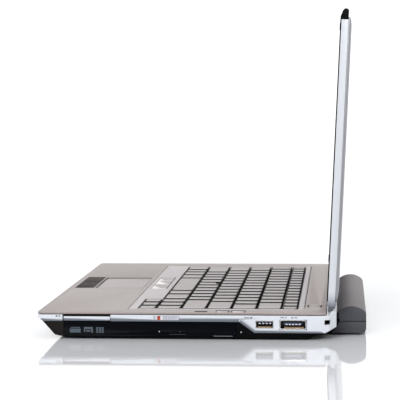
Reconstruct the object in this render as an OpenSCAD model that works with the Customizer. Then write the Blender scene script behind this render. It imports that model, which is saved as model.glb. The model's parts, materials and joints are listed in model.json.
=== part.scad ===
// Open notebook computer, about 335 mm wide, with a rear battery that stands
// out behind the hinge. All sizes are in millimetres. X runs along the keyboard
// (+X is the user's right hand), +Y runs away from the user and +Z is up.
// Inside the modules, Y is counted from a line 1.4 mm behind the front edge of
// the base; base_place() moves that line forward so that the origin is under the
// middle of the whole machine.

/* [Base] */
// Width of the base and of the lid
body_w = 335; // [330:1:345]
// Distance from the line that Y is counted from to the rear wall of the base
base_d = 221.6; // [221:0.1:222]
// Height of the deck above the table
deck_z = 20; // [19.8:0.1:20.2]
// Wall thickness of the case and of the side frame
wall = 2.4; // [2.2:0.1:2.6]
// Height of the rubber feet
foot_h = 1.2; // [1.2:0.1:1.3]

/* [Lid] */
// Length of the lid from the hinge axis to its top edge
lid_len = 219; // [217:0.5:220]
// How far the lid leans back past upright, in degrees
lid_lean = 2.8; // [0:0.1:10]
// Distance of the hinge axis from the line that Y is counted from
hinge_y = 218.4; // [218.2:0.1:218.6]
// Height of the hinge axis
hinge_z = 24.5; // [24.4:0.1:24.8]
// Width of the visible screen
screen_w = 294; // [280:1:296]
// Height of the visible screen
screen_h = 166; // [150:1:168]

/* [Keyboard] */
// Distance from one key to the next
pitch = 19.05; // [18.9:0.05:19.1]
// Gap between two keys at their foot
key_gap = 0.8; // [0.5:0.1:1.2]
// Height of a key cap
cap_h = 2.2; // [2:0.1:2.3]
// Height of the key tops above the deck
key_rise = 0.2; // [0:0.1:0.4]

/* [Battery] */
// Left end of the battery
battery_x0 = -68; // [-80:1:-60]
// Right end of the battery
battery_x1 = 140; // [132:1:150]

/* [Hidden] */
$fn = 48;
half_w = body_w / 2;
front_y = -1.4;
origin_back = 121.3;
seam = 0.6;
frame_top = 18.2;
deck_low = frame_top + seam;
floor_z = foot_h;
floor_top = floor_z + 1.5;

// side frame: cut along its lower edge, and how far the case below stands back
side_step = 1.1;
chamfer_h = 2.2;
band_low = [[-3, 13.3], [149.9, 13.3], [161.1, 5.2], [213, 5.2], [base_d + 1, 9.7]];

// keyboard grid: right end of the keys, and the front edge of each row
keys_x1 = 145;
keys_x0 = keys_x1 - 15 * pitch;
row_y = 85.3;
plate_top = 15.8;
cap_top = deck_z + key_rise;
stick_x = keys_x0 + 6.75 * pitch;
stick_y = row_y + 2 * pitch - 1.5;

// keyboard surround: outer edges
ring_x0 = keys_x0 - 3;
ring_x1 = keys_x1 + 3;
ring_y0 = 64.8;
ring_y1 = 197.4;

// touchpad and its two buttons
pad_x0 = -52;
pad_x1 = 20.5;
pad_y0 = 21;
pad_y1 = 60;
click_x0 = -55.6;
click_x1 = 20.6;
click_split = -19;
click_y0 = 4;
click_y1 = 19;

// optical drive bay in the right side
bay_y0 = 18.4;
bay_y1 = 147.8;
bay_z1 = 13.3;
drive_x0 = 39;
eject_y0 = 130;
eject_y1 = 146;

// card flap and wireless switch in the right side
flap_y1 = 53.6;
switch_y0 = 88.8;
switch_y1 = 105.4;
switch_travel = 2.2;
stem_y0 = 96.6;
stem_y1 = 101.6;

// fan
fan_x = -128;
fan_y = 174.5;
fan_r = 20;

// power inlet in the rear wall
inlet_x = -120;
inlet_z = 14.2;
inlet_r = 3.55;

// screws in the bottom
screw_x = [-150, -50, 50, 150];
screw_y = [46, 142];
screw_r = 2.2;

// lid, counted from the hinge axis: thickness along Y, length along Z
lid_front = -4.1;
rim_front = -3.3;
rim_back = 1.9;
lid_back_y = 4.5;
lid_low_r = 2.75;
cap_start = lid_len - 8;
screen_low = 27;
hinge_in = 128;
hinge_mid = 138;
hinge_out = 148;
pin_r = 1.5;
lid_corner_r = 9;
barrel_x = 156;

// battery shell
battery_seam_z = 10.4;
latch_x = [battery_x0 + 23, battery_x1 - 25];

// ---------- helpers ----------

module base_place() {
  translate([0, -origin_back, 0]) children();
}

module lid_place() {
  base_place() translate([0, hinge_y, hinge_z]) rotate([-lid_lean, 0, 0]) children();
}

// A box given by its lowest corner and its highest corner
module block(low, high) {
  translate(low) cube(high - low);
}

// The same box on both sides of the machine
module both_sides() {
  for (side = [0, 1]) mirror([side, 0, 0]) children();
}

// Points on a round corner
function arc(cx, cy, r, a0, a1, n = 6) =
  [for (i = [0 : n]) [cx + r * cos(a0 + (a1 - a0) * i / n), cy + r * sin(a0 + (a1 - a0) * i / n)]];

// Outline with four round corners, from low corner to high corner
module round_rect(low, high, r) {
  translate([low[0] + r, low[1]]) square([high[0] - low[0] - 2 * r, high[1] - low[1]]);
  translate([low[0], low[1] + r]) square([high[0] - low[0], high[1] - low[1] - 2 * r]);
  for (x = [low[0] + r, high[0] - r], y = [low[1] + r, high[1] - r]) translate([x, y]) circle(r);
}

// A plate with round corners seen from above
module round_plate(low, high, z0, z1, r) {
  translate([0, 0, z0]) linear_extrude(z1 - z0) round_rect(low, high, r);
}

// A Y-Z outline drawn out along X
module side_extrude(x0, x1) {
  translate([x0, 0, 0]) rotate([90, 0, 90]) linear_extrude(x1 - x0) children();
}

// Base seen from above, drawn in by a margin: round front corners, cut rear corners
module base_plan(inset = 0) {
  w = half_w - inset;
  r = 4;
  polygon(concat(
    arc(-w + r, front_y + r + inset, r, 180, 270),
    arc(w - r, front_y + r + inset, r, 270, 360),
    [[w, 209], [w - 2, 216 - inset * 0.4], [w - 7.5, base_d - inset]],
    [[-w + 7.5, base_d - inset], [-w + 2, 216 - inset * 0.4], [-w, 209]]
  ));
}

// Base seen from the side, from the table up to the deck seam
module base_side() {
  polygon([
    [front_y, frame_top], [front_y, 17], [2, 14.1], [12, 3], [18.4, 1.7], [26, floor_z],
    [199, floor_z], [209, 4.4], [214, 5.4], [base_d, 9.2], [base_d, frame_top]
  ]);
}

// The part of that outline that belongs to the bright side frame
module frame_side() {
  polygon(concat([[-3, frame_top + 1]], band_low, [[base_d + 1, frame_top + 1]]));
}

// Takes the lower outer edge off the side frame between two points of its lower line
module edge_cut(from, to) {
  turn = atan2(to[1] - from[1], to[0] - from[0]);
  length = norm(to - from);
  translate([0, from[0], from[1]]) rotate([turn, 0, 0]) translate([0, length, 0]) rotate([90, 0, 0])
    linear_extrude(length) polygon([
      [half_w - side_step * (1 + 1 / chamfer_h), -1], [half_w, chamfer_h],
      [half_w + 1, chamfer_h], [half_w + 1, -1]
    ]);
}

module edge_cuts() both_sides()
  for (i = [0 : len(band_low) - 2]) edge_cut(band_low[i], band_low[i + 1]);

// The base below the deck as a hollow shell, its plan drawn in by a margin
module base_hollow(inset = 0) {
  difference() {
    intersection() {
      translate([0, 0, -1]) linear_extrude(30) base_plan(inset);
      side_extrude(-half_w, half_w) base_side();
    }
    intersection() {
      translate([0, 0, -1]) linear_extrude(30) base_plan(wall);
      side_extrude(-half_w, half_w) polygon([
        [wall, 20], [wall, 17.2], [4.5, 14.6], [13, 5.2], [18, floor_top + 0.2],
        [26, floor_top], [198.5, floor_top], [208, 6.6], [213, 7.6], [base_d - wall, 10.9],
        [base_d - wall, 20]
      ]);
    }
  }
}

module right_ports() {
  block([half_w - 4, 162, 8.6], [half_w + 1, 175.3, 14.5]);
  block([half_w - 4, 179.5, 7.6], [half_w + 1, 200, 15.3]);
  block([half_w - 6.5, 212.9, 11.3], [half_w + 1, 217.2, 14.9]);
}

// ---------- base: case and frame ----------

module bottom_case() color([0.10, 0.11, 0.13]) base_place() {
  difference() {
    base_hollow(side_step);
    side_extrude(-half_w - 1, half_w + 1) frame_side();
    block([half_w - 3.4, bay_y0, 1.9], [half_w + 1, bay_y1, 14]);
    right_ports();
    for (i = [0 : 9]) block([-150 + i * 4.6, 170, 0], [-147.6 + i * 4.6, 193, floor_top + 1]);
    for (x = latch_x) block([x - 9, 178.9, 0], [x + 9, 185.1, floor_top + 1]);
    for (x = screw_x, y = screw_y) translate([x, y, 0]) cylinder(h = 4, r = screw_r);
  }
}

module side_frame() color([0.84, 0.86, 0.89]) base_place() {
  difference() {
    intersection() {
      union() {
        base_hollow();
        block([-half_w, 214.4, 16.9], [half_w, base_d, frame_top]);
      }
      side_extrude(-half_w - 1, half_w + 1) frame_side();
      translate([0, 0, -1]) linear_extrude(30) base_plan();
    }
    edge_cuts();
    block([half_w - 4, bay_y0, 13.2], [half_w + 1, flap_y1 + 0.4, 20]);
    block([half_w - 1.2, switch_y0, 14.3], [half_w + 1, switch_y1, 17.6]);
    block([half_w - 4, stem_y0 - switch_travel - 0.4, 15.2], [half_w, stem_y1 + 0.4, 16.9]);
    right_ports();
    both_sides() block([hinge_mid + 0.1, 215.4, 16], [hinge_out + 0.2, 219.4, 19]);
    block([battery_x0 + 7, 219, 10.9], [battery_x1 - 7, 223, 16.6]);
    translate([inlet_x, base_d + 1, inlet_z]) rotate([90, 0, 0]) cylinder(h = 9, r = inlet_r + 0.05);
    for (i = [0 : 6]) block([-half_w - 1, 164 + i * 5, 7], [-half_w + 4, 166.6 + i * 5, 14]);
  }
  intersection() {
    translate([0, 0, frame_top]) linear_extrude(6) base_plan(0.3);
    both_sides() side_extrude(half_w - 7, half_w)
      polygon([[216.4, frame_top], [217.6, 20.5], [221.2, 22], [221.2, frame_top]]);
  }
}

module palm_rest() color([0.70, 0.66, 0.64]) base_place() {
  difference() {
    union() {
      translate([0, 0, deck_low]) linear_extrude(deck_z - deck_low)
        intersection() {
          base_plan(0.2);
          square([2 * body_w, 2 * 214], center = true);
        }
      translate([0, 0, frame_top]) linear_extrude(seam) difference() {
        base_plan(1.1);
        base_plan(2.2);
        translate([-half_w, 213.8]) square([body_w, 20]);
        translate([half_w - 4, bay_y0]) square([6, flap_y1 + 0.4 - bay_y0]);
      }
    }
    round_plate([click_x0 - 0.3, click_y0 - 0.3], [click_x1 + 0.3, click_y1 + 0.3], 17, 21, 1.2);
    round_plate([pad_x0 - 0.3, pad_y0 - 0.3], [pad_x1 + 0.3, pad_y1 + 0.3], 17, 21, 1.5);
    block([ring_x0 - 0.1, ring_y0 - 0.1, 17], [ring_x1 + 0.1, ring_y1 + 0.1, 21]);
    round_plate([119.7, 200.7], [134.3, 209.3], 17, 21, 2);
    round_plate([157.2, 132.6], [163.3, 141.6], 17, 21, 1);
    round_plate([157.2, 144.1], [163.3, 153.5], 17, 21, 1);
    block([159.2, 116.5, deck_z - 0.6], [161.2, 125.5, 21]);
  }
}

// ---------- base: keyboard, touchpad and pointing stick ----------

module keyboard_surround() color([0.84, 0.81, 0.79]) base_place() {
  difference() {
    round_plate([ring_x0, ring_y0], [ring_x1, ring_y1], plate_top, deck_z + 0.1, 1.5);
    block([keys_x0 - 0.4, row_y - 0.4, 10], [keys_x1 + 0.4, 193.4, 22]);
    block([keys_x1 - 3 * pitch - 0.4, 71.2, 10], [keys_x1 + 0.4, row_y, 22]);
    block([-54.6, 67.8, 10], [24.6, 81.2, 22]);
  }
}

module keyboard_plate() color([0.12, 0.12, 0.13]) base_place() {
  block([ring_x0, ring_y0 + 1, plate_top - 0.6], [ring_x1, ring_y1, plate_top]);
}

module touchpad() color([0.75, 0.72, 0.73]) base_place() {
  round_plate([pad_x0, pad_y0], [pad_x1, pad_y1], deck_z - 2.2, deck_z - 1, 1.2);
}

module pointing_stick() color([0.10, 0.10, 0.11]) base_place() {
  translate([stick_x, stick_y, plate_top]) {
    cylinder(h = 2.8, r = 1.4);
    translate([0, 0, 2.8]) cylinder(h = 2, r = 2.9);
    translate([0, 0, 4.8]) cylinder(h = 0.4, r = 2.4);
  }
}

// One key cap, its width and depth counted in keys, its corner at the origin
module key_cap(units = 1, depth = pitch) {
  w = units * pitch - key_gap;
  d = depth - key_gap;
  slope = 1.7;
  translate([key_gap / 2, key_gap / 2, cap_top - cap_h]) intersection() {
    rotate([90, 0, 0]) translate([0, 0, -d]) linear_extrude(d)
      polygon([[0, 0], [w, 0], [w, 0.5], [w - slope, cap_h], [slope, cap_h], [0, 0.5]]);
    rotate([90, 0, 90]) linear_extrude(w)
      polygon([[0, 0], [d, 0], [d, 0.5], [d - slope * 0.7, cap_h], [slope, cap_h], [0, 0.5]]);
  }
}

// Where each key of a row starts, in keys from the left end
function row_start(widths, i) = i == 0 ? 0 : widths[i - 1] + row_start(widths, i - 1);

module key_row(row, widths, first = 0, depth = pitch) {
  base_place() difference() {
    translate([keys_x0 + first * pitch, row_y + row * pitch, 0])
      for (i = [0 : len(widths) - 1])
        translate([row_start(widths, i) * pitch, 0, 0]) key_cap(widths[i], depth);
    translate([stick_x, stick_y, plate_top]) cylinder(h = 10, r = 4);
  }
}

module function_keys() color([0.66, 0.63, 0.61]) key_row(5, [for (i = [1 : 16]) 15 / 16], 0, 12.2);
module number_keys() color([0.66, 0.63, 0.61]) key_row(4, concat([for (i = [1 : 13]) 1], [2]));
module upper_keys() color([0.66, 0.63, 0.61]) key_row(3, concat([1.5], [for (i = [1 : 12]) 1], [1.5]));
module home_keys() color([0.66, 0.63, 0.61]) key_row(2, concat([1.75], [for (i = [1 : 11]) 1], [2.25]));
module lower_keys() color([0.66, 0.63, 0.61]) key_row(1, concat([2.25], [for (i = [1 : 10]) 1], [2.75]));

module bottom_keys() color([0.66, 0.63, 0.61]) {
  key_row(0, [1.25, 1, 1.15, 1.3]);
  key_row(0, [1.2, 1.6, 1, 1, 1], 9.2);
}

module space_bar() color([0.66, 0.63, 0.61]) key_row(0, [4.5], 4.7);

module arrow_keys() color([0.66, 0.63, 0.61]) base_place()
  for (i = [0 : 2]) translate([keys_x1 - (3 - i) * pitch, 71.6, 0]) key_cap(1, 13.6);

module stick_button(place) color([0.66, 0.63, 0.61]) base_place()
  round_plate([-54 + place * 26.1, 68.3], [-28.2 + place * 26.1, 80.7], 17.8, deck_z + 0.4, 1);

module stick_button_left() stick_button(0);
module stick_button_middle() stick_button(1);
module stick_button_right() stick_button(2);

module touchpad_button(x0, x1) color([0.27, 0.24, 0.23]) base_place()
  round_plate([x0, click_y0], [x1, click_y1], 17.8, deck_z, 1);

module touchpad_button_left() touchpad_button(click_x0, click_split - 0.25);
module touchpad_button_right() touchpad_button(click_split + 0.25, click_x1);

module power_button() color([0.80, 0.80, 0.82]) base_place()
  round_plate([120, 201], [134, 209], 17.6, deck_z, 1.8);

module volume_button(y0, y1) color([0.62, 0.60, 0.60]) base_place()
  round_plate([157.5, y0], [163, y1], 17.6, deck_z + 0.1, 0.8);

module volume_up_button() volume_button(144.4, 153.2);
module volume_down_button() volume_button(132.9, 141.3);

// ---------- base: right side ----------

module drive_housing() color([0.66, 0.68, 0.70]) base_place() {
  difference() {
    block([drive_x0, 19.6, floor_top + 0.3], [half_w - 3.4, 146.6, 12.9]);
    block([drive_x0 + 0.6, 20.4, floor_top + 0.9], [half_w, 145.8, 12.3]);
  }
}

module drive_tray() color([0.10, 0.10, 0.11]) base_place() {
  difference() {
    block([drive_x0 + 3, 21.4, 4.1], [half_w - 2.6, 144.8, 8.6]);
    translate([drive_x0 + 66, 83, 5.6]) cylinder(h = 10, r = 60.2, $fn = 96);
    translate([drive_x0 + 66, 83, 0]) cylinder(h = 10, r = 15.4);
    block([drive_x0 + 66, 74, 0], [drive_x0 + 112, 92, 10]);
  }
}

module drive_bezel() color([0.05, 0.06, 0.09]) base_place() {
  difference() {
    block([half_w - 2.6, bay_y0 + 0.4, 2.1], [half_w - side_step - 0.05, bay_y1 - 0.4, bay_z1 - 0.3]);
    block([half_w - 3, eject_y0 - 0.2, 2], [half_w + 1, eject_y1 + 0.2, 5.4]);
    translate([half_w - 3, 89.5, 5.9]) rotate([0, 90, 0]) cylinder(h = 5, r = 0.8);
  }
}

module eject_button() color([0.16, 0.17, 0.20]) base_place() {
  block([half_w - 2.1, eject_y0, 2.3], [half_w - side_step - 0.05, eject_y1, 5.2]);
}

module disc_spindle() color([0.78, 0.78, 0.80]) base_place() {
  translate([drive_x0 + 66, 83, 4.3]) {
    cylinder(h = 2.2, r = 14.6);
    cylinder(h = 5.4, r = 7.4);
    for (i = [0 : 2]) rotate([0, 0, i * 120]) translate([6.6, -1, 3]) cube([1.4, 2, 2]);
  }
}

module laser_carriage() color([0.30, 0.31, 0.34]) base_place() {
  difference() {
    block([drive_x0 + 84, 74.6, 4.3], [drive_x0 + 100, 91.4, 7]);
    translate([drive_x0 + 92, 83, 6.2]) cylinder(h = 2, r = 2.4);
  }
}

module usb_shell() color([0.74, 0.75, 0.78]) base_place() {
  difference() {
    block([half_w - 14, 162.1, 8.7], [half_w - 0.1, 175.2, 14.4]);
    block([half_w - 13.5, 162.5, 9.1], [half_w + 1, 174.8, 14]);
  }
}

module usb_tongue() color([0.08, 0.08, 0.09]) base_place() {
  block([half_w - 13.5, 163.2, 11.9], [half_w - 0.9, 174.1, 13.5]);
}

module esata_shell() color([0.76, 0.77, 0.80]) base_place() {
  difference() {
    side_extrude(half_w - 14, half_w - 0.1) round_rect([179.6, 7.7], [199.9, 15.2], 1.6);
    side_extrude(half_w - 13.4, half_w + 1) round_rect([180.5, 8.5], [199, 14.4], 1);
  }
}

module esata_tongue() color([0.12, 0.20, 0.38]) base_place() {
  block([half_w - 13.4, 183, 11], [half_w - 1.4, 196.5, 13]);
}

module lock_plate() color([0.60, 0.61, 0.63]) base_place() {
  difference() {
    intersection() {
      block([half_w - 5.8, 210, 10.8], [half_w, 219, 15.8]);
      linear_extrude(30) base_plan(wall + 0.1);
    }
    block([half_w - 6.4, 213.2, 12.2], [half_w, 216.9, 14]);
  }
}

module wireless_switch() color([0.78, 0.80, 0.83]) base_place() {
  difference() {
    union() {
      block([half_w - 1.1, switch_y0 + switch_travel + 0.4, 14.5], [half_w - 0.3, switch_y1 - 0.3, 17.4]);
      block([half_w - 5, stem_y0, 15.4], [half_w - 1, stem_y1, 16.7]);
    }
    for (i = [0 : 8])
      block([half_w - 0.8, switch_y0 + 4.4 + i * 1.2, 14], [half_w + 1, switch_y0 + 5 + i * 1.2, 19]);
  }
}

module card_blank() color([0.80, 0.82, 0.85]) base_place() {
  difference() {
    union() {
      block([92, 19.3, 14], [half_w - 3, flap_y1 - 0.5, 16.6]);
      block([half_w - 3, 18.8, 13.6], [half_w - 0.1, flap_y1, 16.9]);
    }
    edge_cuts();
  }
}

module power_socket() color([0.10, 0.10, 0.11]) base_place() {
  translate([inlet_x, 0, inlet_z]) rotate([-90, 0, 0]) {
    difference() {
      translate([0, 0, 208]) cylinder(h = base_d - 0.2 - 208, r = inlet_r);
      translate([0, 0, 210]) cylinder(h = 20, r = 2.8);
    }
    translate([0, 0, 209.9]) cylinder(h = 9.5, r = 0.5);
  }
}

// ---------- base: inside ----------

module motherboard() color([0.07, 0.30, 0.20]) base_place() {
  difference() {
    union() {
      block([-152, 94, 6.2], [34, 150, 7.6]);
      block([-98, 149, 6.2], [152, 203, 7.6]);
    }
    for (x = [-140, -40, 24], y = [104, 144]) translate([x, y, 5]) cylinder(h = 4, r = 1.6);
  }
  for (x = [-80, 0, 80, 140]) translate([x, 190, floor_top]) cylinder(h = 6.2 - floor_top, r = 2.6);
  for (x = [-128, -80, 0]) translate([x, 120, floor_top]) cylinder(h = 6.2 - floor_top, r = 2.6);
}

module wifi_card() color([0.10, 0.34, 0.16]) base_place() {
  block([-142, 108, 7.6], [-112, 112, 11]);
  block([-142, 112, 9.4], [-112, 146, 10.4]);
  block([-138, 116, 10.4], [-116, 138, 12]);
}

module memory_module() color([0.08, 0.34, 0.18]) base_place() {
  block([-62, 98, 7.6], [6, 102, 11.4]);
  block([-62, 102, 9.2], [6, 130, 10.2]);
  for (i = [0 : 3]) block([-58 + i * 16, 108, 10.2], [-47 + i * 16, 122, 11.2]);
}

module hard_drive() color([0.62, 0.64, 0.66]) base_place() {
  block([-152, 21, floor_top + 0.3], [-52, 90.8, floor_top + 8]);
  block([-148, 25, floor_top + 8], [-56, 86, floor_top + 9.5]);
}

module fan_housing() color([0.14, 0.14, 0.15]) base_place() {
  difference() {
    block([fan_x - 27, fan_y - 21.5, floor_top + 0.5], [fan_x + 27, fan_y + 21.5, 14.6]);
    translate([fan_x, fan_y, 0]) cylinder(h = 13, r = fan_r + 1);
    translate([fan_x, fan_y, 10]) cylinder(h = 6, r = 15);
    block([fan_x + 10, fan_y - 10, 5], [fan_x + 28, fan_y + 20, 13]);
  }
  difference() {
    block([fan_x - 2.4, fan_y - 21.4, 13], [fan_x + 2.4, fan_y + 21.4, 14.6]);
    translate([fan_x, fan_y, 12]) cylinder(h = 1.9, r = 1.05);
  }
}

module fan_rotor() color([0.08, 0.08, 0.09]) base_place() translate([fan_x, fan_y, 0]) {
  difference() {
    translate([0, 0, 4.4]) cylinder(h = 7.4, r = 9);
    translate([0, 0, 4]) cylinder(h = 6.4, r = 7.6);
  }
  translate([0, 0, 11.7]) cylinder(h = 2, r = 1);
  for (i = [0 : 16]) rotate([0, 0, i * 360 / 17])
    translate([8.6, 0, 4.8]) rotate([0, 0, 22]) cube([10.6, 0.7, 6.4]);
}

module heat_sink() color([0.72, 0.45, 0.30]) base_place() {
  block([-58, 164, 7.6], [-24, 198, 9.6]);
  block([-96, 176, 9.6], [-30, 182, 12]);
  block([-96, 184, 9.6], [-30, 190, 12]);
  for (i = [0 : 7]) block([-100.5 + i * 1.8, 166, 8], [-99.7 + i * 1.8, 198, 9.6]);
  block([-100.5, 166, 9.4], [-87.1, 198, 9.7]);
}

module speakers() color([0.12, 0.12, 0.13]) base_place() {
  both_sides() difference() {
    block([150, 56, 13.6], [163, 88, 18.2]);
    translate([156.5, 72, 17.4]) cylinder(h = 3, r = 4.6);
  }
}

module rubber_feet() color([0.13, 0.13, 0.14]) base_place() {
  for (side = [-1, 1], y = [34, 158])
    round_plate([side * 136 - 13, y - 4.5], [side * 136 + 13, y + 4.5], 0, floor_z, 4);
}

module bottom_screws() color([0.40, 0.41, 0.43]) base_place() {
  for (x = screw_x, y = screw_y) translate([x, y, floor_z - 0.2]) difference() {
    cylinder(h = floor_top - floor_z, r = screw_r);
    cube([2.8, 0.6, 1.2], center = true);
    cube([0.6, 2.8, 1.2], center = true);
  }
}

module hinge_brackets() color([0.30, 0.31, 0.33]) base_place() both_sides() difference() {
  union() {
    translate([hinge_mid + 0.2, hinge_y, hinge_z]) rotate([0, 90, 0])
      cylinder(h = hinge_out - hinge_mid - 0.2, r = 3);
    block([hinge_mid + 0.2, 215.5, 11.8], [hinge_out, 219, hinge_z]);
    block([hinge_mid - 4, 206, 11.8], [hinge_out, 219, 13]);
  }
  translate([hinge_mid - 1, hinge_y, hinge_z]) rotate([0, 90, 0]) cylinder(h = 20, r = pin_r + 0.06);
}

// ---------- battery ----------

// End view of the battery, drawn in by the thickness of its wall
module battery_side(inset = 0) {
  polygon(concat(
    [[217.4 + inset * 1.6, 1.4 + inset], [224 + inset, battery_seam_z], [223.2 + inset, 13]],
    arc(233, 7.26, 14.74 - inset, 131.5, 46, 12),
    [[243.9 - inset, 15.8]],
    arc(240.4, 4.9, 3.5 - inset, 0, -90, 5)
  ));
}

module battery_shell() {
  difference() {
    side_extrude(battery_x0, battery_x1) battery_side();
    side_extrude(battery_x0 + 3, battery_x1 - 3) battery_side(1.1);
  }
}

module battery_top() color([0.50, 0.48, 0.49]) base_place() {
  intersection() {
    battery_shell();
    block([battery_x0 - 1, 210, battery_seam_z], [battery_x1 + 1, 250, 30]);
  }
  block([battery_x0 + 8, 206, battery_seam_z + 1.1], [battery_x1 - 8, 224, 16.2]);
}

module battery_bottom() color([0.36, 0.36, 0.38]) base_place() {
  intersection() {
    battery_shell();
    block([battery_x0 - 1, 210, 0], [battery_x1 + 1, 250, battery_seam_z]);
  }
}

module battery_cells() color([0.20, 0.42, 0.62]) base_place() {
  for (i = [0 : 2]) translate([battery_x0 + 5 + i * 66.4, 234, 11.7]) rotate([0, 90, 0]) {
    cylinder(h = 64.6, r = 8.7);
    cylinder(h = 65.6, r = 3);
  }
}

module battery_latch(x) color([0.30, 0.31, 0.33]) base_place() {
  block([x - 8.6, 179.3, floor_z - 0.3], [x + 3.4, 184.7, floor_top - 0.2]);
  for (i = [0 : 3]) block([x - 6.4 + i * 2, 180.2, floor_z - 0.6], [x - 5.6 + i * 2, 183.8, floor_z - 0.3]);
}

module battery_latch_left() battery_latch(latch_x[0]);
module battery_latch_right() battery_latch(latch_x[1]);

// ---------- lid ----------

// Lid seen from the front, drawn in by a margin: round at the two lower corners only
module lid_plan(inset, low, high) {
  w = half_w - inset;
  r = lid_corner_r - inset;
  polygon(concat([[-w, high]], arc(-w + r, low + r, r, 180, 270, 8),
                 arc(w - r, low + r, r, 270, 360, 8), [[w, high]]));
}

module lid_rim() color([0.85, 0.86, 0.88]) lid_place() {
  difference() {
    union() {
      side_extrude(-barrel_x, barrel_x) circle(lid_low_r);
      translate([0, rim_back, 0]) rotate([90, 0, 0]) linear_extrude(rim_back - rim_front)
        lid_plan(0, -0.6, cap_start);
    }
    block([-half_w + 1.8, -5, 6], [half_w - 1.8, 5, cap_start + 1]);
    both_sides() block([hinge_in - 0.3, -5, -5], [hinge_out + 0.3, 5, 7]);
  }
}

module lid_bezel() color([0.05, 0.05, 0.06]) lid_place() {
  difference() {
    translate([0, rim_front, 0]) rotate([90, 0, 0]) linear_extrude(rim_front - lid_front)
      lid_plan(0.6, 3.2, cap_start + 2);
    block([-screen_w / 2, -5, screen_low], [screen_w / 2, 0, screen_low + screen_h]);
    translate([0, 0, 202]) rotate([90, 0, 0]) cylinder(h = 6, r = 2);
  }
}

module lcd_panel() color([0.10, 0.11, 0.13]) lid_place() {
  block([-150, rim_front, 22.4], [150, 0.8, 198]);
}

module lid_back() color([0.66, 0.68, 0.71]) lid_place() {
  difference() {
    hull() {
      for (layer = [[0, rim_back, 3], [3, 3.6, 3.9], [8, 4.2, 4.4], [14, 4.3, lid_back_y]])
        translate([0, layer[2], 0]) rotate([90, 0, 0]) linear_extrude(layer[2] - layer[1])
          lid_plan(0.3 + layer[0] * 0.6, 2.8 + layer[0], cap_start + 2 - layer[0] * 0.8);
    }
    block([-half_w + 16, 0, 18], [half_w - 16, 3.4, cap_start - 12]);
  }
}

module lid_cap() color([0.06, 0.06, 0.07]) lid_place() {
  side_extrude(-half_w + 0.1, half_w - 0.1) polygon([
    [rim_front, cap_start + 0.1], [rim_front, cap_start + 2.1], [lid_front, cap_start + 2.1],
    [-2.4, lid_len - 1.4], [-1.2, lid_len], [1, lid_len], [2, lid_len - 1.4],
    [rim_back, cap_start + 2.1], [rim_back, cap_start + 0.1]
  ]);
}

module hinge_arms() color([0.32, 0.33, 0.35]) lid_place() both_sides() {
  translate([hinge_in, 0, 0]) rotate([0, 90, 0]) {
    cylinder(h = hinge_mid - hinge_in, r = 3);
    cylinder(h = hinge_out - hinge_in, r = pin_r);
  }
  block([hinge_in, -2.4, 0], [hinge_mid, -0.9, 21.5]);
}

module lid_bumpers() color([0.12, 0.12, 0.12]) lid_place() both_sides()
  for (z = [35, 206]) translate([156, lid_front, z]) rotate([90, 0, 0]) cylinder(h = 0.3, r = 2.6);

bottom_case();
side_frame();
palm_rest();
keyboard_surround();
keyboard_plate();
touchpad();
pointing_stick();
drive_housing();
usb_shell();
usb_tongue();
esata_shell();
esata_tongue();
lock_plate();
power_socket();
motherboard();
wifi_card();
memory_module();
hard_drive();
fan_housing();
heat_sink();
speakers();
rubber_feet();
bottom_screws();
hinge_brackets();
drive_tray();
drive_bezel();
eject_button();
disc_spindle();
laser_carriage();
function_keys();
number_keys();
upper_keys();
home_keys();
lower_keys();
bottom_keys();
space_bar();
arrow_keys();
stick_button_left();
stick_button_middle();
stick_button_right();
touchpad_button_left();
touchpad_button_right();
power_button();
volume_up_button();
volume_down_button();
wireless_switch();
card_blank();
battery_top();
battery_bottom();
battery_cells();
battery_latch_left();
battery_latch_right();
fan_rotor();
lid_back();
lid_rim();
lid_bezel();
lcd_panel();
lid_cap();
hinge_arms();
lid_bumpers();
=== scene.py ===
"""Looks, light and camera for the notebook computer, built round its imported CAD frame.

Lengths are in metres, in the frame's axes: +X is the user's right hand, +Y runs away from the user
and +Z is up. MM turns the millimetres that small details are given in into metres.
"""
import json
import math

import bmesh
import bpy
from mathutils import Matrix, Vector


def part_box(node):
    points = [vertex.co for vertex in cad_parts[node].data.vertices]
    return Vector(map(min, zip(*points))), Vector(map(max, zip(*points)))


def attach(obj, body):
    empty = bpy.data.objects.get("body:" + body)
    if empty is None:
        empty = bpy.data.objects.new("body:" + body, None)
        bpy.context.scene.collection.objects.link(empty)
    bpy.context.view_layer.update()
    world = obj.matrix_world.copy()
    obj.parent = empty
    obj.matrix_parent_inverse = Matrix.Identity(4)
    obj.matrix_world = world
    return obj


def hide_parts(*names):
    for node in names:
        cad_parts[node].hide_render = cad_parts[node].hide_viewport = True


MM = 0.001
# small details count Y from the same line as the CAD, 1.4 mm behind the front edge of the base;
# that line lies this far in front of the origin
Y_LINE_MM = 121.3
# points of a CAD mesh that are closer than this are one point
SAME_POINT = 0.002 * MM
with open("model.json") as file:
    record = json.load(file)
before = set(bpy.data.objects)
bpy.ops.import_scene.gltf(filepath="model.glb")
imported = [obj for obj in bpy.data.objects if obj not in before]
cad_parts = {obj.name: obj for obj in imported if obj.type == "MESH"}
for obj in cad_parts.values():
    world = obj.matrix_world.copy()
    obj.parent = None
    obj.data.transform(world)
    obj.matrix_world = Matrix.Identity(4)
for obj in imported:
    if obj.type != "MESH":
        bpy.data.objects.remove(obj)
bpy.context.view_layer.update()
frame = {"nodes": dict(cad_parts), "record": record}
nodes = frame["nodes"]


def place_mm(x, y, z):
    """A place in metres from millimetres, with Y counted as the CAD counts it."""
    return (x * MM, (y - Y_LINE_MM) * MM, z * MM)


# ---------- camera, floor and light ----------

CAMERA_PLACE = (1.3808, 0.1040, 0.1905)
CAMERA_TURN_DEG = (4.89, 4.07, -0.37)
LENS_MM = 149.1
SENSOR_MM = 36
FLOOR_HALF = 14
FLOOR_DROP = 0.05 * MM


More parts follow.
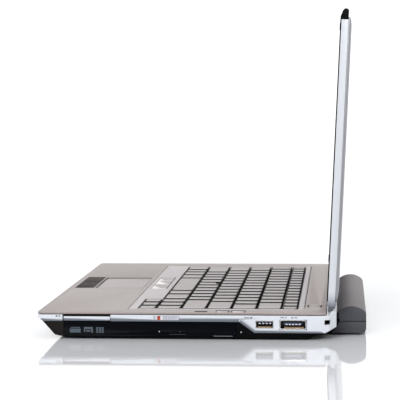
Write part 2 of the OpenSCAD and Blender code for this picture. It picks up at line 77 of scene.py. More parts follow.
def make_camera():
    """A long lens from the machine's right, a little in front of the hinge and just above the deck."""
    yaw, pitch, roll = (math.radians(angle) for angle in CAMERA_TURN_DEG)
    look = Vector((-math.cos(yaw) * math.cos(pitch), -math.sin(yaw) * math.cos(pitch), -math.sin(pitch)))
    camera = bpy.data.objects.new("camera", bpy.data.cameras.new("camera"))
    bpy.context.collection.objects.link(camera)
    camera.data.sensor_width = SENSOR_MM
    camera.data.lens = LENS_MM
    camera.data.clip_start = 0.05
    turn = look.to_track_quat("-Z", "Y").to_matrix() @ Matrix.Rotation(roll, 3, "Z")
    camera.matrix_world = Matrix.Translation(CAMERA_PLACE) @ turn.to_4x4()
    bpy.context.scene.camera = camera


def area_light(name, place, target, size, power):
    """A rectangular light at a place, turned towards a target."""
    light = bpy.data.objects.new(name, bpy.data.lights.new(name, "AREA"))
    light.data.shape = "RECTANGLE"
    light.data.size, light.data.size_y = size
    light.data.energy = power
    light.location = place
    light.rotation_euler = (Vector(target) - Vector(place)).to_track_quat("-Z", "Y").to_euler()
    bpy.context.collection.objects.link(light)


def make_world():
    """Bright white behind the machine as the camera sees it, dimmer overhead and dimmest behind the camera."""
    world = bpy.data.worlds.new("studio")
    world.use_nodes = True
    tree = world.node_tree
    background = tree.nodes["Background"]
    place = tree.nodes.new("ShaderNodeTexCoord")
    split = tree.nodes.new("ShaderNodeSeparateXYZ")
    side = tree.nodes.new("ShaderNodeMapRange")
    side.interpolation_type = "SMOOTHSTEP"
    for name, value in (("From Min", -0.75), ("From Max", 0.35), ("To Min", 1.3), ("To Max", 0.40)):
        side.inputs[name].default_value = value
    tree.links.new(place.outputs["Generated"], split.inputs[0])
    tree.links.new(split.outputs["X"], side.inputs["Value"])
    tree.links.new(side.outputs[0], background.inputs["Strength"])
    background.inputs["Color"].default_value = (1.0, 1.0, 1.0, 1)
    bpy.context.scene.world = world


def make_floor():
    """A pale glossy table top, wide enough to reach the horizon."""
    half = FLOOR_HALF
    mesh = bpy.data.meshes.new("floor")
    mesh.from_pydata([(-half, -half, 0), (half, -half, 0), (half, half, 0), (-half, half, 0)], [], [(0, 1, 2, 3)])
    floor = bpy.data.objects.new("floor", mesh)
    bpy.context.collection.objects.link(floor)
    floor.data.materials.append(surface("floor_white", (0.77, 0.78, 0.81), 0.05, grain_mm=60, depth_mm=0.0,
                                        mottle=0.01, gloss=0.8))
    floor.location.z = -FLOOR_DROP


# ---------- materials ----------

def new_tree(name):
    """A new material, its node tree and its shader."""
    material = bpy.data.materials.new(name)
    material.use_nodes = True
    return material, material.node_tree, material.node_tree.nodes["Principled BSDF"]


def noise(tree, size_mm, detail=3.0, stretch=(1, 1, 1)):
    """Noise about size_mm across, in the object's own coordinates, longer along the axes with a small stretch."""
    place = tree.nodes.new("ShaderNodeTexCoord")
    scale = tree.nodes.new("ShaderNodeMapping")
    scale.inputs["Scale"].default_value = stretch
    pattern = tree.nodes.new("ShaderNodeTexNoise")
    pattern.inputs["Scale"].default_value = 1 / (size_mm * MM)
    pattern.inputs["Detail"].default_value = detail
    tree.links.new(place.outputs["Object"], scale.inputs["Vector"])
    tree.links.new(scale.outputs[0], pattern.inputs["Vector"])
    return pattern.outputs["Fac"]


def mapped(tree, value, low, high, start=0.3, end=0.7):
    """A value between start and end, stretched to lie between low and high."""
    node = tree.nodes.new("ShaderNodeMapRange")
    node.inputs["From Min"].default_value = start
    node.inputs["From Max"].default_value = end
    node.inputs["To Min"].default_value = low
    node.inputs["To Max"].default_value = high
    tree.links.new(value, node.inputs["Value"])
    return node.outputs[0]


def mixed(tree, factor, first, second):
    """A colour between two colours."""
    node = tree.nodes.new("ShaderNodeMix")
    node.data_type = "RGBA"
    tree.links.new(factor, node.inputs["Factor"])
    node.inputs["A"].default_value = (*first, 1)
    node.inputs["B"].default_value = (*second, 1)
    return node.outputs["Result"]


def bumped(tree, shader, height, depth_mm):
    """Lets a pattern show as a relief of a given depth."""
    node = tree.nodes.new("ShaderNodeBump")
    node.inputs["Distance"].default_value = depth_mm * MM
    node.inputs["Strength"].default_value = 1.0
    tree.links.new(height, node.inputs["Height"])
    tree.links.new(node.outputs[0], shader.inputs["Normal"])


def shaded(colour, amount):
    """A colour made lighter by a share, or darker if the share is negative."""
    return tuple(min(1.0, max(0.0, part * (1 + amount))) for part in colour)


COAT_ROUGH = 0.1
LONG_X = (0.04, 1, 1)


def surface(name, colour, rough, metal=0.0, grain_mm=0.5, depth_mm=0.02, mottle=0.05,
            stretch=(1, 1, 1), gloss=0.5, coat=0.0):
    """A finish with mottled colour, uneven roughness and a fine grain."""
    material, tree, shader = new_tree(name)
    broad = noise(tree, grain_mm * 14, 2.0, stretch)
    fine = noise(tree, grain_mm, 3.0, stretch)
    tree.links.new(mixed(tree, broad, shaded(colour, -mottle), shaded(colour, mottle)), shader.inputs["Base Color"])
    tree.links.new(mapped(tree, fine, rough * 0.85, min(1.0, rough * 1.15)), shader.inputs["Roughness"])
    if depth_mm:
        bumped(tree, shader, fine, depth_mm)
    shader.inputs["Metallic"].default_value = metal
    shader.inputs["Specular IOR Level"].default_value = gloss
    shader.inputs["Coat Weight"].default_value = coat
    shader.inputs["Coat Roughness"].default_value = COAT_ROUGH
    return material


def tinted(material, source, axis, start, end, colour):
    """Blends a second colour into a finish from start to end along an axis of the surface normal or of the place."""
    tree = material.node_tree
    shader = tree.nodes["Principled BSDF"]
    place = tree.nodes.new("ShaderNodeTexCoord")
    split = tree.nodes.new("ShaderNodeSeparateXYZ")
    tree.links.new(place.outputs[source], split.inputs[0])
    factor = mapped(tree, split.outputs[axis], 0.0, 1.0, start, end)
    blend = tree.nodes.new("ShaderNodeMix")
    blend.data_type = "RGBA"
    tree.links.new(factor, blend.inputs["Factor"])
    tree.links.new(shader.inputs["Base Color"].links[0].from_socket, blend.inputs["A"])
    blend.inputs["B"].default_value = (*colour, 1)
    tree.links.new(blend.outputs["Result"], shader.inputs["Base Color"])
    return material


def case_black(name):
    """Black case plastic, a little browner on the slope under the front edge."""
    made = surface(name, (0.0016, 0.0017, 0.0022), 0.45, grain_mm=0.35, depth_mm=0.012, gloss=0.05)
    return tinted(made, "Object", "Y", -102.9 * MM, -103.1 * MM, (0.013, 0.011, 0.0105))


def frame_silver(name):
    """Silver paint, with painted shade on the downward-facing cut along the lower edge."""
    made = surface(name, (0.67, 0.70, 0.75), 0.32, grain_mm=0.3, depth_mm=0.004, mottle=0.02, coat=0.15)
    # painted shade: faces that turn downwards get a darker colour
    return tinted(made, "Normal", "Z", -0.2, -0.35, (0.17, 0.19, 0.22))


def deck_taupe(name):
    """Warm grey deck, with painted shade making its lower lip near black in the seam below it, and painted light
    making it a little paler towards the hinge.
    """
    made = surface(name, (0.305, 0.262, 0.252), 0.42, metal=0.15, grain_mm=0.25, depth_mm=0.006, mottle=0.05,
                   stretch=LONG_X, gloss=0.35)
    # painted light: a little paler towards the hinge
    made = tinted(made, "Object", "Y", 45 * MM, 85 * MM, (0.375, 0.32, 0.31))
    # painted shade: near black below the deck's top, in the seam over the silver band
    return tinted(made, "Object", "Z", 18.79 * MM, 18.76 * MM, (0.004, 0.003, 0.003))


def key_grey(name):
    """Warm grey key caps, with a painted highlight where their right end falls off."""
    made = surface(name, (0.28, 0.238, 0.233), 0.34, grain_mm=0.3, depth_mm=0.004, mottle=0.02, gloss=0.25)
    # painted highlight: faces that turn towards +X get a near white colour
    return tinted(made, "Normal", "X", 0.03, 0.09, (0.85, 0.83, 0.83))


def battery_grey(name):
    """Warm grey, with painted shade making its front face near black in the gap behind the frame, and a dark blue
    grey right end.
    """
    made = surface(name, (0.150, 0.134, 0.140), 0.52, grain_mm=0.3, depth_mm=0.02, mottle=0.04, gloss=0.4)
    # painted shade: the face towards the front, in the gap behind the frame, is near black
    made = tinted(made, "Normal", "Y", -0.6, -0.85, (0.012, 0.012, 0.014))
    return tinted(made, "Normal", "X", 0.75, 0.9, (0.058, 0.060, 0.070))


def rim_silver(name):
    """Silver lid rim, with painted shade round its lower corner, painted shade making it black where it meets the
    bezel, and a painted highlight along its rear edge.
    """
    made = surface(name, (0.58, 0.60, 0.64), 0.34, grain_mm=0.3, depth_mm=0.004, mottle=0.02, coat=0.15)
    # painted highlight: faces that turn towards the back are near white
    made = tinted(made, "Normal", "Y", 0.2, 0.5, (0.95, 0.96, 0.98))
    # painted shade: faces that turn towards the front, at the bezel, are near black
    made = tinted(made, "Normal", "Y", -0.2, -0.5, (0.03, 0.03, 0.03))
    # painted shade: darker towards the lower end of the lid
    return tinted(made, "Object", "Z", 36 * MM, 24 * MM, (0.24, 0.26, 0.30))


def port_shell(name):
    """Plated port shell, bright at its mouth, with painted shade making it dark inside."""
    made = surface(name, (0.66, 0.67, 0.70), 0.24, metal=1.0, grain_mm=0.3, depth_mm=0.004, stretch=LONG_X)
    # painted shade: darker further into the port
    return tinted(made, "Object", "X", 167.15 * MM, 166.9 * MM, (0.05, 0.05, 0.055))


# finishes with a blend of two colours
BLENDED = {
    "case_black": case_black, "frame_silver": frame_silver, "deck_taupe": deck_taupe,
    "key_grey": key_grey, "zinc": port_shell, "battery_grey": battery_grey, "rim_silver": rim_silver,
}

# the other finishes: colour, roughness and what else surface() is told
PLAIN = {
    "surround_light": ((0.47, 0.43, 0.445), 0.42, dict(grain_mm=0.25, depth_mm=0.006, mottle=0.02, gloss=0.4)),
    # key skirts near black: painted shade for the gaps between keys
    "key_skirt": ((0.006, 0.005, 0.005), 0.50, dict(grain_mm=0.3, depth_mm=0.006, gloss=0.1)),
    "pad_grey": ((0.46, 0.415, 0.42), 0.55, dict(grain_mm=0.3, depth_mm=0.012, mottle=0.02, gloss=0.4)),
    "button_brown": ((0.026, 0.017, 0.015), 0.60, dict(grain_mm=0.3, depth_mm=0.004, gloss=0.08)),
    "stick_rubber": ((0.012, 0.012, 0.013), 0.85, dict(grain_mm=0.35, depth_mm=0.08, gloss=0.2)),
    "gloss_black": ((0.0014, 0.0020, 0.0036), 0.10, dict(grain_mm=3, depth_mm=0.002, gloss=0.06, mottle=0.2)),
    "soft_rubber": ((0.012, 0.012, 0.013), 0.80, dict(grain_mm=0.4, depth_mm=0.03, gloss=0.2)),
    "hinge_steel": ((0.20, 0.20, 0.22), 0.34, dict(metal=1.0, grain_mm=0.4, depth_mm=0.006, stretch=LONG_X)),
    "port_black": ((0.004, 0.004, 0.005), 0.45, dict(grain_mm=0.3, depth_mm=0.006, gloss=0.2)),
    "port_blue": ((0.010, 0.022, 0.060), 0.40, dict(grain_mm=0.3, depth_mm=0.004)),
    "board_green": ((0.012, 0.09, 0.045), 0.35, dict(grain_mm=0.8, depth_mm=0.02, mottle=0.25)),
    "drive_metal": ((0.60, 0.61, 0.63), 0.36, dict(metal=1.0, grain_mm=0.4, depth_mm=0.01, stretch=LONG_X)),
    "copper": ((0.72, 0.36, 0.20), 0.30, dict(metal=1.0, grain_mm=0.6, depth_mm=0.01, mottle=0.12)),
    "fan_black": ((0.010, 0.010, 0.012), 0.48, dict(grain_mm=0.4, depth_mm=0.01)),
    "battery_dark": ((0.060, 0.061, 0.070), 0.55, dict(grain_mm=0.3, depth_mm=0.02, mottle=0.04, gloss=0.3)),
    "cell_wrap": ((0.02, 0.10, 0.26), 0.22, dict(grain_mm=1.0, depth_mm=0.02)),
    "lid_silver": ((0.30, 0.305, 0.33), 0.36,
                   dict(metal=0.3, grain_mm=0.22, depth_mm=0.006, mottle=0.04, stretch=LONG_X)),
    "bezel_black": ((0.0018, 0.0018, 0.0022), 0.50, dict(grain_mm=0.3, depth_mm=0.012, gloss=0.08)),
    "screen_glass": ((0.004, 0.0045, 0.006), 0.20, dict(grain_mm=0.15, depth_mm=0.0015, mottle=0.1)),
    "spindle_plate": ((0.74, 0.74, 0.76), 0.22, dict(metal=1.0, grain_mm=0.5, depth_mm=0.004)),
    "mark_grey": ((0.052, 0.072, 0.092), 0.5, dict(grain_mm=0.4, depth_mm=0.0, mottle=0.1)),
    "mark_pale": ((0.40, 0.42, 0.46), 0.4, dict(grain_mm=0.4, depth_mm=0.0, mottle=0.1)),
    "rib_violet": ((0.36, 0.33, 0.40), 0.5, dict(grain_mm=0.4, depth_mm=0.0, mottle=0.05)),
    "mark_dark": ((0.006, 0.006, 0.007), 0.6, dict(grain_mm=0.4, depth_mm=0.0, mottle=0.1, gloss=0.1)),
    "flag_orange": ((0.45, 0.043, 0.012), 0.5, dict(grain_mm=0.4, depth_mm=0.0, mottle=0.04)),
    "contact_gold": ((0.32, 0.22, 0.13), 0.35, dict(grain_mm=0.4, depth_mm=0.002)),
    "contact_tin": ((0.62, 0.63, 0.72), 0.35, dict(grain_mm=0.4, depth_mm=0.002)),
    "lens_glass": ((0.004, 0.005, 0.010), 0.05, dict(grain_mm=0.5, depth_mm=0.0, coat=0.6)),
}


def finish_of(slot):
    """The material of a slot, made the first time that it is asked for."""
    name = slot + "_finish"
    if name not in bpy.data.materials:
        if slot in BLENDED:
            BLENDED[slot](name)
        else:
            colour, rough, more = PLAIN[slot]
            surface(name, colour, rough, **more)
    return bpy.data.materials[name]


def dress(obj, slot):
    """Gives a CAD node or a piece the material of a slot."""
    obj.data.materials.clear()
    obj.data.materials.append(finish_of(slot))


# ---------- CAD nodes ----------

BEVEL_STEPS = 3
SHARP_DEG = 28
FLAT_DEG = 0.6


def soften(obj, width_mm):
    """Rounds a CAD node's edges with modifiers, so that they catch the light."""
    weld = obj.modifiers.new("weld", "WELD")
    weld.merge_threshold = SAME_POINT
    flat = obj.modifiers.new("flat", "DECIMATE")
    flat.decimate_type = "DISSOLVE"
    flat.angle_limit = math.radians(FLAT_DEG)
    bevel = obj.modifiers.new("bevel", "BEVEL")
    bevel.width = width_mm * MM
    bevel.segments = BEVEL_STEPS
    bevel.limit_method = "ANGLE"
    bevel.angle_limit = math.radians(SHARP_DEG)
    bevel.harden_normals = True
    for polygon in obj.data.polygons:
        polygon.use_smooth = True


# width of the soft edge of each CAD node; the small parts inside share one
EDGES_MM = {
    "bottom_case": 0.5, "side_frame": 0.35, "palm_rest": 0.3, "keyboard_surround": 0.4, "touchpad": 0.15,
    "pointing_stick": 0.3, "usb_shell": 0.1, "usb_tongue": 0.1, "esata_shell": 0.12, "esata_tongue": 0.12,
    "rubber_feet": 0.3, "drive_bezel": 0.25, "drive_tray": 0.3, "drive_housing": 0.1, "eject_button": 0.25,
    "wireless_switch": 0.12, "card_blank": 0.35, "battery_top": 0.5, "battery_bottom": 0.5, "lid_back": 0.3,
    "lid_rim": 0.45, "lid_bezel": 0.1, "lid_cap": 0.4, "power_button": 0.25, "volume_up_button": 0.2,
    "volume_down_button": 0.2, "touchpad_button_left": 0.4, "touchpad_button_right": 0.4,
    "stick_button_left": 0.4, "stick_button_middle": 0.4, "stick_button_right": 0.4,
}
SMALL_EDGE_MM = 0.12


def dress_cad_nodes():
    """Gives every CAD node the finish of its slot in the record, and soft edges."""
    for part in frame["record"]["subparts"]:
        obj = nodes[part["node"]]
        dress(obj, part["material_slot"])
        soften(obj, EDGES_MM.get(part["node"], SMALL_EDGE_MM))


# ---------- pieces ----------

def new_piece(name, verts, faces, slots, face_slots=None, smooth=True):
    """A mesh object from points in metres, with one material per slot and, if told, a slot number for each face."""
    mesh = bpy.data.meshes.new(name)
    mesh.from_pydata(verts, [], faces)
    obj = bpy.data.objects.new(name, mesh)
    bpy.context.collection.objects.link(obj)
    for slot in slots:
        mesh.materials.append(finish_of(slot))
    for polygon in mesh.polygons:
        polygon.use_smooth = smooth
        if face_slots:
            polygon.material_index = face_slots[polygon.index]
    return obj


def island_boxes(obj):
    """The box of every separate solid in a CAD node, as (low, high) corners."""
    work = bmesh.new()
    work.from_mesh(obj.data)
    bmesh.ops.remove_doubles(work, verts=work.verts, dist=SAME_POINT)
    seen, boxes = set(), []
    for start in work.verts:
        if start.index in seen:
            continue
        stack, group = [start], []
        seen.add(start.index)
        while stack:
            vert = stack.pop()
            group.append(vert.co.copy())
            for edge in vert.link_edges:
                other = edge.other_vert(vert)
                if other.index not in seen:
                    seen.add(other.index)
                    stack.append(other)
        boxes.append((Vector([min(p[k] for p in group) for k in range(3)]),
                      Vector([max(p[k] for p in group) for k in range(3)])))
    work.free()
    return sorted(boxes, key=lambda box: (round(box[0].y, 4), box[0].x))


def rounded_loop(low, high, radius, corner=4, side=6):
    """Points round a rectangle with round corners, the long sides cut into short steps."""
    points = []
    x0, y0, x1, y1 = low[0] + radius, low[1] + radius, high[0] - radius, high[1] - radius
    for cx, cy, start, end in ((x1, y0, -90, (x1, y1)), (x1, y1, 0, (x0, y1)), (x0, y1, 90, (x0, y0)),
                               (x0, y0, 180, (x1, y0))):
        for step in range(corner + 1):
            angle = math.radians(start + 90 * step / corner)
            points.append(Vector((cx + radius * math.cos(angle), cy + radius * math.sin(angle))))
        here = points[-1]
        angle = math.radians(start + 90)
        there = Vector((end[0] + radius * math.cos(angle), end[1] + radius * math.sin(angle)))
        points += [here.lerp(there, step / side) for step in range(1, side)]
    return points


# how far a cap's top stands back from its foot, how deep it is dished, and how far its ends fall off
KEY_SIDE = Vector((3.1 * MM, 0.55 * MM))
KEY_DISH, KEY_CROWN, CROWN_WIDTH = 0.08 * MM, 0.22 * MM, 2.2 * MM
# the loops of the skirt: how far in towards the top's outline, corner radius, share of the height, and mm above that
SKIRT_LOOPS = ((0.0, 0.5 * MM, 0.0, 0.0), (0.0, 0.5 * MM, 0.0, 0.5), (0.5, 0.9 * MM, 0.5, 0.35),
               (0.9, 1.1 * MM, 1.0, -0.4))
# the loops of the top, counted inwards from its outline: first by a distance in mm, then by a share of its size
TOP_STEPS_MM = (0.0, 0.4, 0.8, 1.2, 1.8)
TOP_SHARES = (0.8, 0.55, 0.3)
TOP_CORNER = 1.2 * MM
STICK_CLEAR = 4.3 * MM
SKIRT, TOP = 0, 1


def clear_of(stick, p):
    """A point, moved out of the circle round the pointing stick if it lies inside."""
    away = p - stick
    return stick + away.normalized() * STICK_CLEAR if away.length < STICK_CLEAR else p


def cap_loops(low, high, stick):
    """Loops of points up the skirt of a key cap and inwards over its top, and the middle point of the top."""
    centre = (low.xy + high.xy) / 2
    half = (high.x - low.x) / 2 - KEY_SIDE.x

    def on_top(p):
        far = abs(p.x - centre.x)
        fall = max(0.0, (far - half + CROWN_WIDTH) / CROWN_WIDTH)
        return (p.x, p.y, high.z - KEY_DISH * max(0.0, 1 - (far / half) ** 2) - KEY_CROWN * fall ** 2)

    loops = []
    for part, radius, share, above_mm in SKIRT_LOOPS:
        inset = KEY_SIDE * part
        height = low.z + (high.z - low.z) * share + above_mm * MM
        outline = [clear_of(stick, p) for p in rounded_loop(low.xy + inset, high.xy - inset, radius)]
        loops.append([(p.x, p.y, height) for p in outline])
    for further in TOP_STEPS_MM:
        inset = KEY_SIDE + Vector((further, further)) * MM
        outline = rounded_loop(low.xy + inset, high.xy - inset, TOP_CORNER)
        loops.append([on_top(clear_of(stick, p)) for p in outline])
    for share in TOP_SHARES:
        loops.append([on_top(clear_of(stick, centre + (p - centre) * share)) for p in outline])
    return loops, on_top(centre)


def key_caps(node):
    """Key caps for one CAD row: a skirt painted near black as painted shade for the gaps between keys, and a pale
    top, a little dished, that falls off at its two ends.
    """
    stick_low, stick_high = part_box("pointing_stick")
    stick = Vector(((stick_low[0] + stick_high[0]) / 2, (stick_low[1] + stick_high[1]) / 2))
    verts, faces, face_slots = [], [], []
    for low, high in island_boxes(nodes[node]):
        loops, middle = cap_loops(low, high, stick)
        first, count = len(verts), len(loops[0])
        for loop in loops:
            verts += loop
        verts.append(middle)
        for step in range(len(loops) - 1):
            for k in range(count):
                a, b = first + step * count + k, first + step * count + (k + 1) % count
                faces.append((a, b, b + count, a + count))
                face_slots.append(SKIRT if step <= len(SKIRT_LOOPS) else TOP)
        last = first + (len(loops) - 1) * count
        faces += [(last + k, last + (k + 1) % count, len(verts) - 1) for k in range(count)]
        face_slots += [TOP] * count
        faces.append(tuple(first + k for k in reversed(range(count))))
        face_slots.append(SKIRT)
    piece = new_piece(node + "_caps", verts, faces, ("key_skirt", "key_grey"), face_slots)
    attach(piece, node)
    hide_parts(node)


KEY_NODES = ("function_keys", "number_keys", "upper_keys", "home_keys", "lower_keys", "bottom_keys", "space_bar",
             "arrow_keys")


def box_mesh(low, high, verts, faces):
    """Adds a box between two corners, given as place_mm() takes them."""
    first = len(verts)
    for x, y, z in ((a, b, c) for c in (low[2], high[2]) for b in (low[1], high[1]) for a in (low[0], high[0])):
        verts.append(place_mm(x, y, z))
    for face in ((0, 2, 3, 1), (4, 5, 7, 6), (0, 1, 5, 4), (2, 6, 7, 3), (0, 4, 6, 2), (1, 3, 7, 5)):
        faces.append(tuple(first + k for k in face))


def bars(name, body, slot, boxes):
    """One piece made of thin plates or bars that ride on a body."""
    verts, faces = [], []
    for low, high in boxes:
        box_mesh(low, high, verts, faces)
    piece = new_piece(name, verts, faces, (slot,), smooth=False)
    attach(piece, body)
    return piece


def side_bars(name, body, slot, x, rects, thick=0.04):
    """Printed marks on the right side at x, each rect being (y0, y1, z0, z1)."""
    return bars(name, body, slot, [((x - 0.01, y0, z0), (x + thick, y1, z1)) for y0, y1, z0, z1 in rects])


DISC_SIDES = 24


def disc(name, body, slot, place, axis, radius_mm, thick_mm):
    """A small flat disc with a rounded edge, its centre in metres, facing along axis."""
    turn = Vector(axis).to_track_quat("Z", "Y")
    verts, faces, count = [], [], DISC_SIDES
    for radius, height in ((radius_mm, 0.0), (radius_mm, thick_mm * 0.6), (radius_mm * 0.85, thick_mm)):
        for step in range(count):
            angle = 2 * math.pi * step / count
            point = Vector((radius * math.cos(angle), radius * math.sin(angle), height)) * MM
            verts.append(tuple(Vector(place) + turn @ point))
    for ring_number in range(2):
        for step in range(count):
            a, b = ring_number * count + step, ring_number * count + (step + 1) % count
            faces.append((a, b, b + count, a + count))
    faces.append(tuple(range(2 * count, 3 * count)))
    faces.append(tuple(reversed(range(count))))
    piece = new_piece(name, verts, faces, (slot,))
    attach(piece, body)
    return piece


# the right side of the frame, the drive bezel a little further in, and the deck
SIDE_X = 167.5
BEZEL_X = 166.35
DECK_TOP = 20.0
# how deep a plate is set into the surface it lies on
SUNK = 0.02


def format_marks():
    """Three plain pictograms on the drive bezel: a bar over a block, an open frame and a grid of nine."""
    low, high = 4.6, 8.9
    marks = [(24.0, 30.9, 8.2, 8.8), (23.2, 31.3, low, 7.6)]
    marks += [(33.8, 40.6, 7.2, high), (33.8, 34.9, 5.0, 7.2), (39.2, 40.6, low, 7.2), (35.6, 38.6, 5.2, 6.6)]
    start, step_y, step_z = 43.0, 6.2 / 3, 1.5
    return marks + [(start + k * step_y, start + (k + 0.78) * step_y, low + row * step_z, low + 1.15 + row * step_z)
                    for k in range(3) for row in range(3)]


def side_details():
    """Printed marks and small parts on the right side, with painted shade in the gaps by the drive bay and the card
    flap, and a painted highlight on the eject button.
    """
    facing = (1, 0, 0)
    side_bars("drive_marks", "disc_tray", "mark_grey", BEZEL_X, format_marks())
    disc("drive_lamp", "disc_tray", "mark_pale", place_mm(BEZEL_X, 90.4, 5.7), facing, 0.45, 0.12)
    side_bars("drive_line", "disc_tray", "mark_grey", BEZEL_X, [(98, 110, 3.5, 3.68), (105.7, 106.3, 5.5, 6.0)], 0.02)
    # a pale line as a painted highlight along the eject button's lower edge
    side_bars("eject_highlight", "eject_button", "mark_pale", BEZEL_X, [(131, 145, 2.5, 2.7)], 0.03)
    # a near black strip as painted shade in the gap in front of the drive bay
    side_bars("drive_gap_shade", "base", "mark_dark", BEZEL_X + 0.05, [(18.0, 18.6, 2.1, 13.2)], 0.02)
    disc("case_lamp", "base", "mark_pale", place_mm(BEZEL_X + 0.03, 151.3, 5.6), facing, 0.55, 0.08)
    icon = [(86.7, 87.1, 15.6, 17.4), (85.9, 86.2, 16.6, 17.6), (87.6, 87.9, 16.6, 17.6), (86.3, 87.5, 15.4, 15.65)]
    side_bars("switch_icon", "base", "mark_grey", SIDE_X, icon, 0.03)
    side_bars("front_marks", "base", "mark_dark", SIDE_X, [(12.8, 14.2, 16.7, 17.6), (15.1, 16.2, 16.7, 17.6)], 0.03)
    labels = [(153.6, 157.6, 16.3, 16.8), (158.2, 159.6, 16.1, 17.0)]
    labels += [(180.4, 183.2, 16.5, 17.0), (184.0, 185.0, 16.4, 17.1), (188.4, 189.6, 16.4, 17.1),
               (190.2, 193.0, 16.5, 17.0)]
    side_bars("port_marks", "base", "mark_dark", SIDE_X, labels, 0.03)
    ribs = [(93.4 + k * 1.25, 93.9 + k * 1.25, 14.9, 17.0) for k in range(9)]
    side_bars("switch_ribs", "wireless_switch", "rib_violet", SIDE_X - 0.3, ribs + [(104.6, 105.0, 14.6, 17.3)], 0.03)
    # near black plates as painted shade in the gaps above and in front of the card flap
    bars("flap_gap_shade", "base", "mark_dark", [((166.9, 18.6, 16.96), (167.2, 53.9, 18.19)),
                                           ((SIDE_X - 0.3, 17.9, 13.5), (SIDE_X + 0.03, 18.39, 18.1))])
    bars("switch_flag", "base", "flag_orange", [((SIDE_X - 1.19, 89.1, 14.35), (SIDE_X - 1.13, 91.6, 17.55))])


def port_details():
    """Contacts under the tongues of the two ports, a plate on the floor of each, and the tips that show in front."""
    contacts = [((SIDE_X - 12, 164.1 + k * 2.6, 13.5), (SIDE_X - 2.2, 165.3 + k * 2.6, 13.56)) for k in range(4)]
    contacts += [((SIDE_X - 12, 184.2 + k * 1.7, 13.0), (SIDE_X - 2.6, 184.9 + k * 1.7, 13.05)) for k in range(7)]
    contacts += [((SIDE_X - 6, 163.4, 9.15), (SIDE_X - 0.7, 173.9, 9.9)),
                 ((SIDE_X - 6, 183.2, 8.52), (SIDE_X - 0.7, 197.6, 9.5))]
    bars("port_contacts", "base", "contact_gold", contacts)
    tips = [((SIDE_X - 0.9, 164.4 + k * 2.6, 12.0), (SIDE_X - 0.84, 165.8 + k * 2.6, 12.8)) for k in range(4)]
    tips += [((SIDE_X - 1.4, 184.2 + k * 2.4, 11.2), (SIDE_X - 1.34, 185.7 + k * 2.4, 12.1)) for k in range(5)]
    bars("port_tips", "base", "contact_tin", tips)


def on_deck(x0, y0, x1, y1, thick=0.03):
    """A thin plate on the deck, as one box for bars()."""
    return ((x0, y0, DECK_TOP - SUNK), (x1, y1, DECK_TOP + thick))


def ring(x0, y0, x1, y1, width):
    """Four thin plates round a rectangle on the deck."""
    return [on_deck(x0 - width, y0 - width, x1 + width, y0), on_deck(x0 - width, y1, x1 + width, y1 + width),
            on_deck(x0 - width, y0, x0, y1), on_deck(x1, y0, x1 + width, y1)]


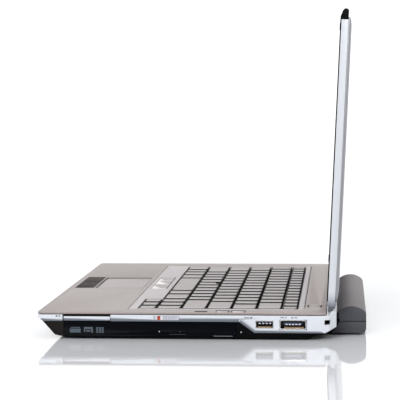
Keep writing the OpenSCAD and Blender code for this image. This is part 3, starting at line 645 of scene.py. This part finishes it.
def deck_details():
    """Thin lines and slots on the deck, with painted shade in the deck's slot and along the back of the keyboard
    surround, and a painted highlight along the surround's right edge.
    """
    for name, y0, y1 in (("volume_down_outline", 132.6, 141.6), ("volume_up_outline", 144.1, 153.5)):
        bars(name, "base", "mark_dark", ring(157.2, y0, 163.3, y1, 0.6) + [on_deck(153.6, y0 - 0.6, 157.2, y1 + 0.6)])
    bars("power_outline", "base", "key_grey", ring(119.7, 200.7, 134.3, 209.3, 0.35))
    bars("power_ends", "base", "mark_dark",
         [on_deck(120.4, 199.4, 133.6, 200.5, 0.04), on_deck(120.4, 209.5, 133.6, 210.6, 0.04)])
    # a near black plate as painted shade in the slot in the deck
    bars("deck_slot_shade", "base", "mark_dark", [on_deck(157.0, 116.3, 162.6, 125.7)])
    bars("pad_outline", "base", "mark_grey", ring(-52.3, 20.7, 20.8, 60.3, 0.3))
    low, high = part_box("keyboard_surround")
    x0, x1 = low[0] / MM, high[0] / MM
    y0, y1 = (corner[1] / MM + Y_LINE_MM for corner in (low, high))
    # dark dashes as painted shade along the back edge of the keyboard surround
    pitch, dash = 9, 6
    dashes = [on_deck(x0 + 2 + k * pitch, y1 + 0.1, x0 + 2 + dash + k * pitch, y1 + 0.75, 0.04)
              for k in range(int((x1 - x0 - 2 - dash) / pitch))]
    bars("surround_shade_dashes", "base", "mark_dark", dashes)
    bars("surround_line", "base", "mark_dark", [on_deck(x0, y0 - 0.35, x1, y0 - 0.05)])
    # a pale bar as a painted highlight along the right edge of the keyboard surround
    bars("surround_edge_highlight", "base", "contact_tin",
         [((x1 - 2.3, y0 + 8, DECK_TOP + 0.08), (x1 - 0.3, y1 - 8, DECK_TOP + 0.12))])


def battery_details():
    """The dark seam between the two halves of the battery, round its right end, its left end and its back."""
    low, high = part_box("battery_top")
    x0, x1 = low[0] / MM, high[0] / MM
    front, back = 224.0, high[1] / MM + Y_LINE_MM
    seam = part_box("battery_bottom")[1][2] / MM
    half, proud = 0.2, 0.04
    bars("battery_seam", "battery", "mark_dark",
         [((x1 - SUNK, front, seam - half), (x1 + proud, back + SUNK, seam + half)),
          ((x0 - proud, front, seam - half), (x0 + SUNK, back + SUNK, seam + half)),
          ((x0, back - SUNK, seam - half), (x1, back + proud, seam + half))])


LID_LEAN = math.radians(2.8)
WEBCAM_UP = 202 * MM


def lid_details():
    """Webcam lens and its lamp in the bezel above the screen."""
    hinge = next(joint for joint in frame["record"]["behaviour"]["joints"] if joint["name"] == "lid_hinge")
    up = Vector((0, math.sin(LID_LEAN), math.cos(LID_LEAN)))
    out = Vector((0, -math.cos(LID_LEAN), math.sin(LID_LEAN)))
    for name, x, slot, radius, front in (("webcam_lens", 0.0, "lens_glass", 1.7, 3.5),
                                         ("webcam_lamp", 8.0, "mark_pale", 0.5, 4.1)):
        place = Vector(hinge["pos_m"]) + Vector((x * MM, 0, 0)) + up * WEBCAM_UP + out * front * MM
        disc(name, "lid", slot, place, out, radius, 0.05)


# ---------- the scene ----------

make_camera()
make_world()
make_floor()
area_light("key_softbox", (2.3, -0.7, 1.35), (0.15, 0, 0.05), (1.6, 1.2), 52)
area_light("rear_top_softbox", (0.5, 1.2, 1.2), (0.1, 0.05, 0.1), (0.8, 0.5), 5)
bpy.context.scene.view_settings.view_transform = "Standard"

dress_cad_nodes()
for key_node in KEY_NODES:
    key_caps(key_node)
side_details()
port_details()
deck_details()
battery_details()
lid_details()
